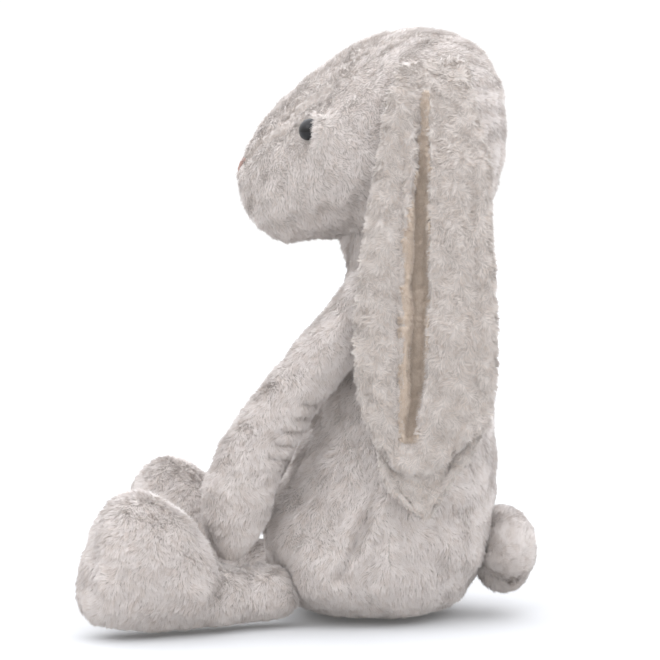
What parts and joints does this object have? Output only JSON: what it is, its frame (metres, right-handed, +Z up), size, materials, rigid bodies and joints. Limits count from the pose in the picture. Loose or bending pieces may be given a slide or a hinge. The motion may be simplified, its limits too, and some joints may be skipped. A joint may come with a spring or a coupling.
{
  "type": "plush rabbit",
  "caption": "Sitting plush rabbit with long lop ears, floppy arms and legs, big feet, glossy eyes and a pom-pom tail, sewn from cream pile fabric over stuffing.",
  "frame": {"origin": "bottom centre of the whole rabbit's box, on the surface it sits on", "axes": "+Z up, -Y the way the rabbit faces, +X the rabbit's left side"},
  "size_m": [0.291, 0.3327, 0.4416],
  "materials": {
    "plush": "long combed pile",
    "ear_fleece": "curly fleece pile",
    "ear_lining": "short smooth pile",
    "stuffing": "loose fibre",
    "bean_bag": "woven bag of pellets",
    "eye": "polished",
    "washer": "moulded",
    "nose": "satin stitch"
  },
  "bodies": {
    "torso": {"back_panel_left": "plush", "back_panel_right": "plush", "front_panel_left": "plush", "front_panel_right": "plush", "seat_base": "plush", "seat_bean_bag": "bean_bag", "body_stuffing": "stuffing", "tail_cover": "plush", "tail_stuffing": "stuffing"},
    "head": {"head_gusset": "plush", "head_side_left": "plush", "head_side_right": "plush", "head_stuffing": "stuffing", "eye_left": "eye", "eye_right": "eye", "eye_washer_left": "washer", "eye_washer_right": "washer", "nose": "nose"},
    "ear_left": {"ear_outer_left": "ear_fleece", "ear_lining_left": "ear_lining"},
    "ear_right": {"ear_outer_right": "ear_fleece", "ear_lining_right": "ear_lining"},
    "arm_left": {"arm_outer_left": "plush", "arm_inner_left": "plush", "arm_stuffing_left": "stuffing"},
    "arm_right": {"arm_outer_right": "plush", "arm_inner_right": "plush", "arm_stuffing_right": "stuffing"},
    "leg_left": {"leg_outer_left": "plush", "leg_inner_left": "plush", "foot_sole_left": "plush", "leg_stuffing_left": "stuffing"},
    "leg_right": {"leg_outer_right": "plush", "leg_inner_right": "plush", "foot_sole_right": "plush", "leg_stuffing_right": "stuffing"}
  },
  "joints": [
    {"name": "neck_nod", "type": "hinge", "parent": "torso", "child": "head", "pos_m": [0, 0.074, 0.24], "axis": [1, 0, 0], "range_deg": [-15, 25]},
    {"name": "ear_lift_left", "type": "hinge", "parent": "head", "child": "ear_left", "pos_m": [0.063, 0.092, 0.41], "axis": [0, -1, 0], "range_deg": [0, 80]},
    {"name": "ear_lift_right", "type": "hinge", "parent": "head", "child": "ear_right", "pos_m": [-0.063, 0.092, 0.41], "axis": [0, 1, 0], "range_deg": [0, 80]},
    {"name": "arm_spread_left", "type": "hinge", "parent": "torso", "child": "arm_left", "pos_m": [0.052, 0.046, 0.247], "axis": [0.2241, -0.8365, -0.5], "range_deg": [0, 50]},
    {"name": "arm_spread_right", "type": "hinge", "parent": "torso", "child": "arm_right", "pos_m": [-0.052, 0.046, 0.247], "axis": [0.2241, 0.8365, 0.5], "range_deg": [0, 50]},
    {"name": "leg_lower_left", "type": "hinge", "parent": "torso", "child": "leg_left", "pos_m": [0.064, -0.035, 0.026], "axis": [1, 0, 0], "range_deg": [0, 85]},
    {"name": "leg_lower_right", "type": "hinge", "parent": "torso", "child": "leg_right", "pos_m": [-0.064, -0.035, 0.026], "axis": [1, 0, 0], "range_deg": [0, 85]}
  ]
}
